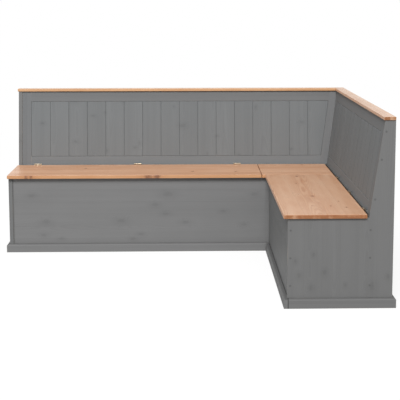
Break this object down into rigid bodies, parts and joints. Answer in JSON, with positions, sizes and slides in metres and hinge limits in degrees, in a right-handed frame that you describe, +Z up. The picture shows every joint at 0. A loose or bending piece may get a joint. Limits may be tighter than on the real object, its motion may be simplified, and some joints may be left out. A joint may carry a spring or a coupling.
{
  "type": "corner storage bench",
  "caption": "L-shaped corner bench with lift-up pine seat lids over two storage chests and a leaning panelled backrest on both runs.",
  "frame": {"origin": "floor level, middle of the rectangle that the bench covers", "axes": "+X along the long run to the room's corner, +Y to the wall behind the long run, +Z up"},
  "size_m": [2.032, 1.676, 0.91],
  "materials": {
    "lacquered_pine_x": "satin grey lacquer, grain along X",
    "lacquered_pine_y": "satin grey lacquer, grain along Y",
    "lacquered_pine_z": "satin grey lacquer, upright grain",
    "lacquered_planks_long": "satin grey lacquer on planks",
    "lacquered_planks_wing": "satin grey lacquer on planks",
    "lacquered_plugs": "satin grey lacquer on plugs",
    "oiled_pine_x": "clear oiled, grain along X",
    "oiled_pine_y": "clear oiled, grain along Y",
    "raw_pine_x": "unfinished, grain along X",
    "raw_pine_y": "unfinished, grain along Y",
    "raw_pine_z": "unfinished, upright grain",
    "beech": "unfinished dowel",
    "brass": "brushed",
    "zinc_steel": "zinc plated"
  },
  "bodies": {
    "bench": {"cap_dowels": "beech", "corner_board_cleats": "raw_pine_y", "corner_post": "raw_pine_z", "corner_seat_board": "oiled_pine_x", "inner_corner_block": "raw_pine_z", "left_end_panel": "lacquered_pine_z", "left_side_skirting": "lacquered_pine_y", "long_back_bottom_rail": "lacquered_pine_x", "long_back_corner_stile": "lacquered_pine_z", "long_back_end_stile": "lacquered_pine_z", "long_back_planks": "lacquered_planks_long", "long_back_ribs": "raw_pine_z", "long_back_top_rail": "lacquered_pine_x", "long_cap": "oiled_pine_x", "long_chest_floor": "raw_pine_x", "long_end_screw_plugs": "lacquered_plugs", "long_end_screws": "zinc_steel", "long_floor_cleats": "raw_pine_y", "long_front_panel": "lacquered_pine_x", "long_front_skirting": "lacquered_pine_x", "long_hinge_pins": "brass", "long_lid_rest_cleat": "raw_pine_x", "long_partition": "raw_pine_y", "long_rear_wall": "raw_pine_x", "long_wall_hinge_leaves": "brass", "long_wall_hinge_screws": "brass", "right_end_panel": "lacquered_pine_z", "right_side_skirting": "lacquered_pine_y", "wing_back_bottom_rail": "lacquered_pine_y", "wing_back_corner_stile": "lacquered_pine_z", "wing_back_end_stile": "lacquered_pine_z", "wing_back_planks": "lacquered_planks_wing", "wing_back_ribs": "raw_pine_z", "wing_back_top_rail": "lacquered_pine_y", "wing_cap": "oiled_pine_y", "wing_chest_floor": "raw_pine_y", "wing_end_screw_plugs": "lacquered_plugs", "wing_end_screws": "zinc_steel", "wing_end_skirting": "lacquered_pine_x", "wing_floor_cleats": "raw_pine_x", "wing_front_panel": "lacquered_pine_y", "wing_front_skirting": "lacquered_pine_y", "wing_hinge_pins": "brass", "wing_lid_rest_cleat": "raw_pine_y", "wing_partition": "raw_pine_x", "wing_rear_wall": "raw_pine_y", "wing_wall_hinge_leaves": "brass", "wing_wall_hinge_screws": "brass"},
    "long_lid": {"long_lid": "oiled_pine_x", "long_lid_battens": "raw_pine_y", "long_lid_hinge_leaves": "brass", "long_lid_hinge_screws": "brass"},
    "wing_lid": {"wing_lid": "oiled_pine_y", "wing_lid_battens": "raw_pine_x", "wing_lid_hinge_leaves": "brass", "wing_lid_hinge_screws": "brass"}
  },
  "joints": [
    {"name": "long_lid_hinge", "type": "hinge", "parent": "bench", "child": "long_lid", "pos_m": [-0.2735, 0.715, 0.454], "axis": [-1, 0, 0], "range_deg": [0, 99]},
    {"name": "wing_lid_hinge", "type": "hinge", "parent": "bench", "child": "wing_lid", "pos_m": [0.877, -0.2585, 0.454], "axis": [0, 1, 0], "range_deg": [0, 99]}
  ]
}
